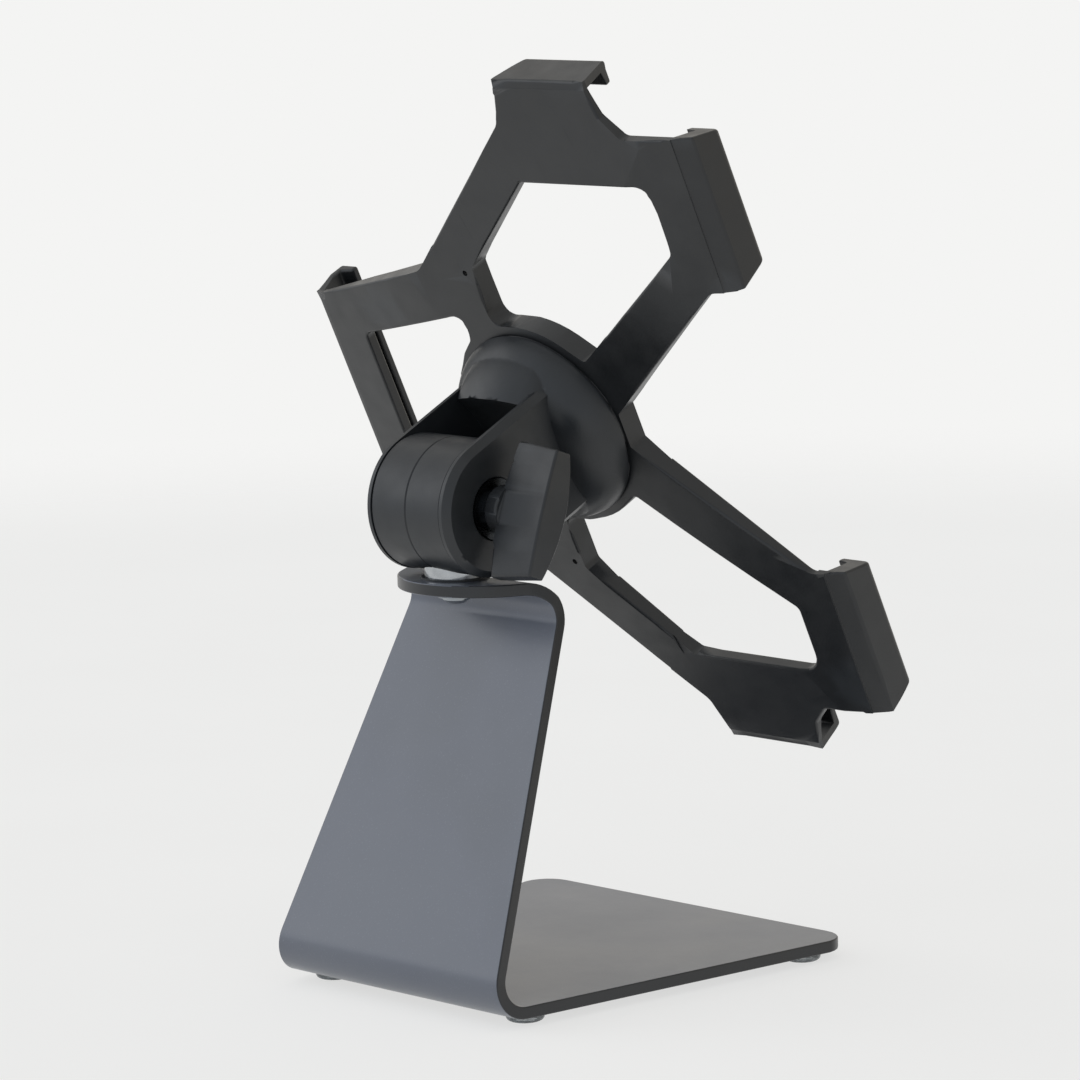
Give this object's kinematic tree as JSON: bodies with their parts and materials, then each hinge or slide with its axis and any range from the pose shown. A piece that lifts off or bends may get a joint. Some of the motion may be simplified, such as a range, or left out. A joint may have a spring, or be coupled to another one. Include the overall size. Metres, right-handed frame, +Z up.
{
  "type": "desktop tablet stand",
  "caption": "Desk stand for a tablet: bent steel base, swivel post, clamped tilting fork with a wing knob, and a windowed moulded cradle that turns from portrait to landscape.",
  "frame": {"origin": "on the desk, under the middle of the whole stand's width and depth in the rest pose; the base's centre line is 2.05 mm to the right of it", "axes": "+Z up, -Y towards the user (the side that the tablet's screen faces), +X to the user's right"},
  "size_m": [0.196, 0.1512, 0.2988],
  "materials": {
    "powder_coated_steel": "satin powder coat",
    "moulded_black": "fine satin moulding",
    "nylon": "plain nylon",
    "bright_steel": "polished",
    "zinc_steel": "zinc plated",
    "brass": "turned",
    "bumper_rubber": "glossy"
  },
  "bodies": {
    "stand": {"base_plate": "powder_coated_steel", "foot_front_left": "bumper_rubber", "foot_front_right": "bumper_rubber", "foot_rear_left": "bumper_rubber", "foot_rear_right": "bumper_rubber", "swivel_washer_top": "nylon", "swivel_washer_bottom": "nylon"},
    "knuckle": {"swivel_post": "bright_steel", "post_washer": "zinc_steel", "post_screw": "zinc_steel", "knuckle_left": "moulded_black", "knuckle_right": "moulded_black", "knuckle_screws": "zinc_steel", "friction_disc_left": "nylon", "friction_disc_right": "nylon"},
    "fork": {"tilt_fork": "moulded_black", "clamp_bolt": "zinc_steel", "knob_washer": "bright_steel", "spring_washer": "zinc_steel", "retaining_plate": "zinc_steel", "hub_screws": "zinc_steel"},
    "knob": {"wing_knob": "moulded_black", "knob_insert": "brass"},
    "cradle": {"cradle": "moulded_black", "pivot_ring": "nylon"}
  },
  "joints": [
    {"name": "swivel", "type": "hinge", "parent": "stand", "child": "knuckle", "pos_m": [0.00205, 0.03948, 0.1578], "axis": [0, 0, 1], "continuous": true},
    {"name": "tilt", "type": "hinge", "parent": "knuckle", "child": "fork", "pos_m": [0.00205, 0.03948, 0.1578], "axis": [1, 0, 0], "range_deg": [-60, 20]},
    {"name": "knob_turn", "type": "hinge", "parent": "fork", "child": "knob", "pos_m": [0.00205, 0.03948, 0.1578], "axis": [-1, 0, 0], "range_deg": [0, 360]},
    {"name": "cradle_turn", "type": "hinge", "parent": "fork", "child": "cradle", "pos_m": [0.00205, -0.00361, 0.17826], "axis": [0, -0.9033, 0.4289], "continuous": true}
  ]
}
